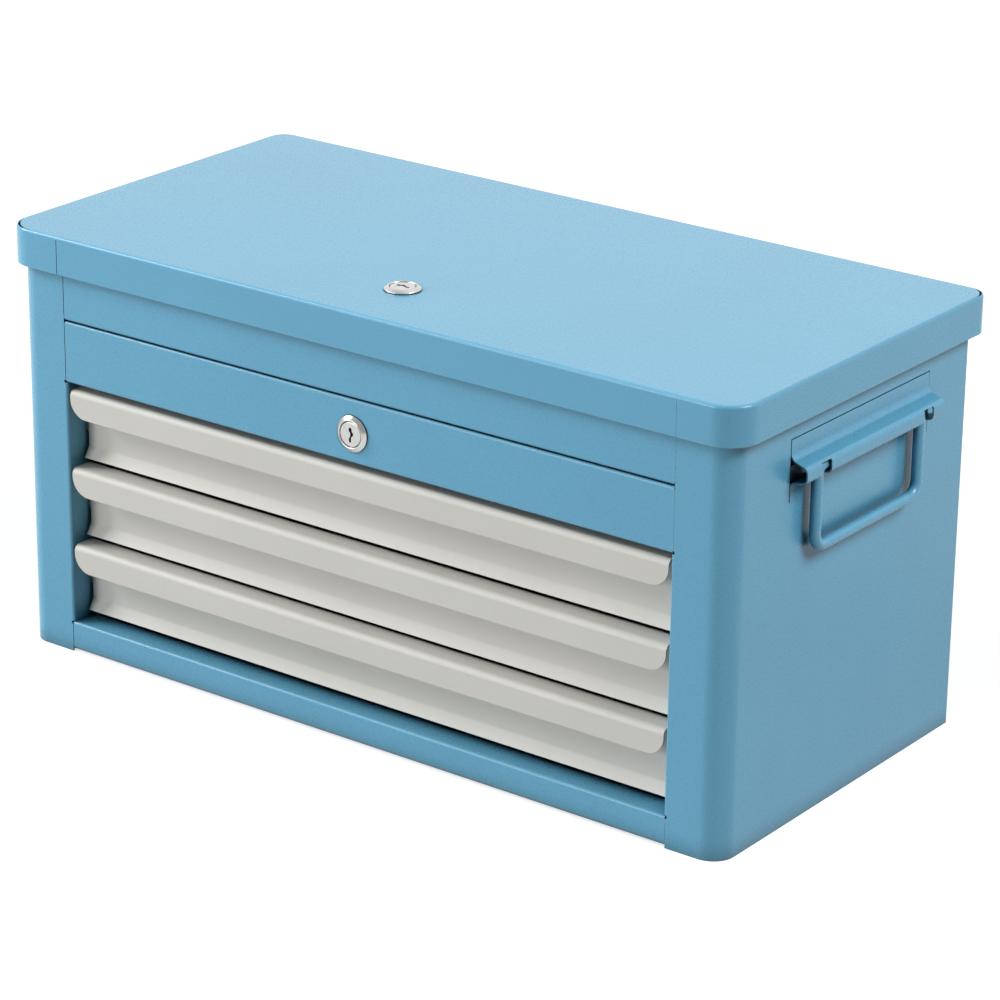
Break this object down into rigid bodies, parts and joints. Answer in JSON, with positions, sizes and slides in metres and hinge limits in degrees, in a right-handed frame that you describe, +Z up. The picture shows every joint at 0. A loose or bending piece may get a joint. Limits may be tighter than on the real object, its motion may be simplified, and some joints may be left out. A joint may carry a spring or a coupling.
{
  "type": "portable tool box with drawers",
  "caption": "Portable sheet-steel tool box: hinged lid over a top well, a stack of drawers with flap pulls below, cam locks and a hanging bail handle at each end.",
  "frame": {"origin": "on the surface the box stands on, below the centre of its overall outline", "axes": "+X to the right seen from the drawer side (the longest extent), -Y towards the drawer side, +Z up"},
  "size_m": [0.563, 0.272, 0.2835],
  "materials": {
    "blue_paint": "textured powder coat, light blue",
    "grey_paint": "smooth powder coat, light warm grey",
    "lock_chrome": "bright nickel and chrome plate on die-cast zinc",
    "zinc_steel": "bright zinc-plated steel"
  },
  "bodies": {
    "case": {"side_panel_left": "blue_paint", "side_panel_right": "blue_paint", "back_panel": "blue_paint", "floor_pan": "blue_paint", "bottom_rail": "blue_paint", "lock_rail": "blue_paint", "upper_fascia": "blue_paint", "well_floor": "blue_paint", "inner_panel_left": "blue_paint", "inner_panel_right": "blue_paint", "strike_plate": "blue_paint", "hinge_body_leaf_left": "blue_paint", "hinge_body_leaf_right": "blue_paint", "hinge_pin_left": "zinc_steel", "hinge_pin_right": "zinc_steel", "hinge_rivets": "zinc_steel", "rod_bearing": "zinc_steel", "lock_bar_guides": "zinc_steel", "front_lock_barrel": "lock_chrome", "front_lock_nut": "zinc_steel", "runner_1_left": "zinc_steel", "runner_1_right": "zinc_steel", "runner_2_left": "zinc_steel", "runner_2_right": "zinc_steel", "runner_3_left": "zinc_steel", "runner_3_right": "zinc_steel"},
    "lid": {"lid_shell": "blue_paint", "hinge_lid_leaf_left": "blue_paint", "hinge_lid_leaf_right": "blue_paint", "top_lock_barrel": "lock_chrome", "top_lock_nut": "zinc_steel"},
    "top_lock": {"top_lock_plug": "lock_chrome", "top_lock_tongue": "zinc_steel", "top_lock_screw": "zinc_steel"},
    "front_lock": {"front_lock_plug": "lock_chrome", "drive_rod": "zinc_steel"},
    "locking_bar": {"lock_bar": "zinc_steel"},
    "bail_left": {"bail_left": "blue_paint"},
    "bail_right": {"bail_right": "blue_paint"},
    "drawer_1": {"drawer_1_front": "grey_paint", "drawer_1_box": "grey_paint", "drawer_1_catch": "zinc_steel", "drawer_1_rail_left": "zinc_steel", "drawer_1_rail_right": "zinc_steel"},
    "drawer_2": {"drawer_2_front": "grey_paint", "drawer_2_box": "grey_paint", "drawer_2_catch": "zinc_steel", "drawer_2_rail_left": "zinc_steel", "drawer_2_rail_right": "zinc_steel"},
    "drawer_3": {"drawer_3_front": "grey_paint", "drawer_3_box": "grey_paint", "drawer_3_catch": "zinc_steel", "drawer_3_rail_left": "zinc_steel", "drawer_3_rail_right": "zinc_steel"}
  },
  "joints": [
    {"name": "lid_hinge", "type": "hinge", "parent": "case", "child": "lid", "pos_m": [0, 0.1262, 0.257], "axis": [-1, 0, 0], "range_deg": [0, 97]},
    {"name": "top_lock_turn", "type": "hinge", "parent": "lid", "child": "top_lock", "pos_m": [0, -0.083, 0.281], "axis": [0, 0, -1], "range_deg": [0, 90]},
    {"name": "front_lock_turn", "type": "hinge", "parent": "case", "child": "front_lock", "pos_m": [0, -0.131, 0.203], "axis": [0, -1, 0], "range_deg": [0, 90]},
    {"name": "lock_bar_slide", "type": "slide", "parent": "case", "child": "locking_bar", "axis": [0, 0, 1], "range_m": [0, 0.0099]},
    {"name": "bail_right_swing", "type": "hinge", "parent": "case", "child": "bail_right", "pos_m": [0.276, 0.004, 0.224], "axis": [0, -1, 0], "range_deg": [0, 90]},
    {"name": "bail_left_swing", "type": "hinge", "parent": "case", "child": "bail_left", "pos_m": [-0.276, 0.004, 0.224], "axis": [0, 1, 0], "range_deg": [0, 90]},
    {"name": "drawer_1_slide", "type": "slide", "parent": "case", "child": "drawer_1", "axis": [0, -1, 0], "range_m": [0, 0.16]},
    {"name": "drawer_2_slide", "type": "slide", "parent": "case", "child": "drawer_2", "axis": [0, -1, 0], "range_m": [0, 0.16]},
    {"name": "drawer_3_slide", "type": "slide", "parent": "case", "child": "drawer_3", "axis": [0, -1, 0], "range_m": [0, 0.16]}
  ],
  "couplings": [
    {"joint": "front_lock_turn", "follows": "lock_bar_slide", "rad_per_m": 158.6}
  ]
}
